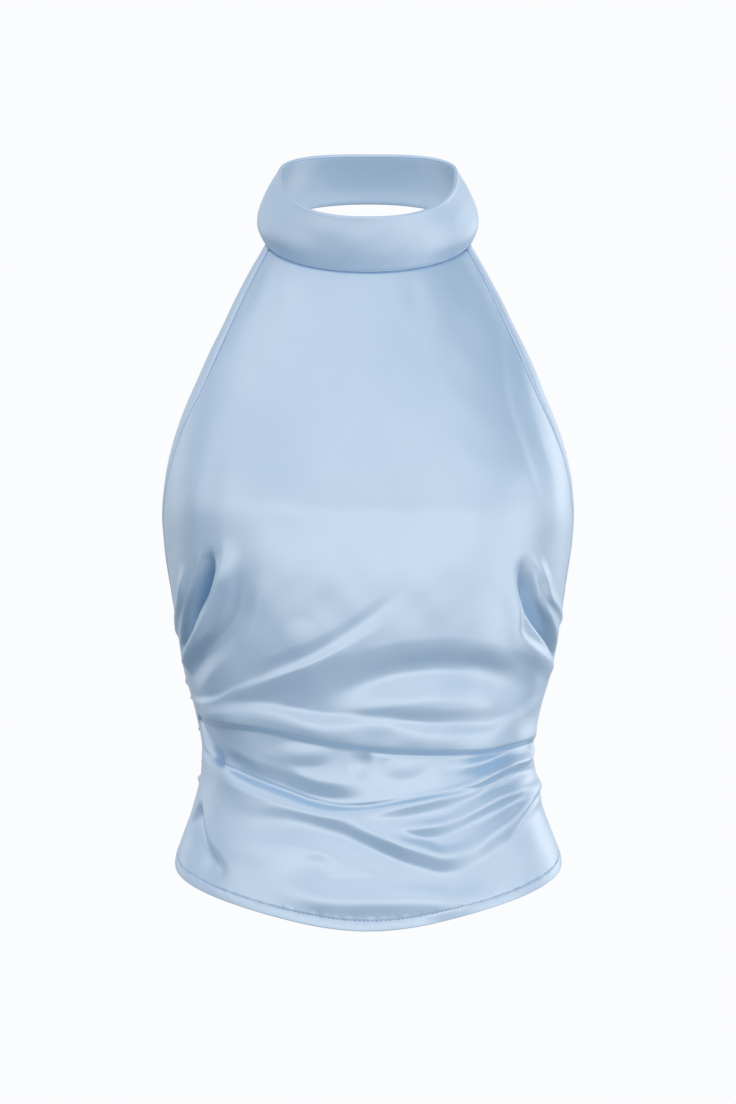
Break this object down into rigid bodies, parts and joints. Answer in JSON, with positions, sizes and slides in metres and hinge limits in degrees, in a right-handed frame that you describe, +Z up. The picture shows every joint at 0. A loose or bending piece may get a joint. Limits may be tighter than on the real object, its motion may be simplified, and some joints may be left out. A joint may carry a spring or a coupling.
{
  "type": "halter neck top, worn form",
  "caption": "Sleeveless satin halter neck top in its worn form, with a high band collar, an open back, draped folds at the waist and a dipped hem.",
  "frame": {"origin": "the neck point: centre of the neck at the level where the collar seam meets the armhole edges, where the wearer carries the top", "axes": "+Z up the body, -Y to the front of the wearer, +X to the wearer's left"},
  "size_m": [0.2988, 0.2183, 0.5653],
  "materials": {
    "body_satin": "pale blue satin with a soft bright sheen",
    "collar_satin": "the same satin, doubled and interfaced",
    "binding_satin": "narrow folded strips of the same satin",
    "button_satin": "buttons covered in the same satin",
    "loop_satin": "rouleau loops of the same satin"
  },
  "bodies": {
    "root": {"front_panel": "body_satin", "back_panel": "body_satin", "collar": "collar_satin", "armhole_binding_left": "binding_satin", "armhole_binding_right": "binding_satin", "back_top_binding": "binding_satin", "button_lower": "button_satin", "button_upper": "button_satin", "button_loop_lower": "loop_satin", "button_loop_upper": "loop_satin"}
  },
  "joints": []
}
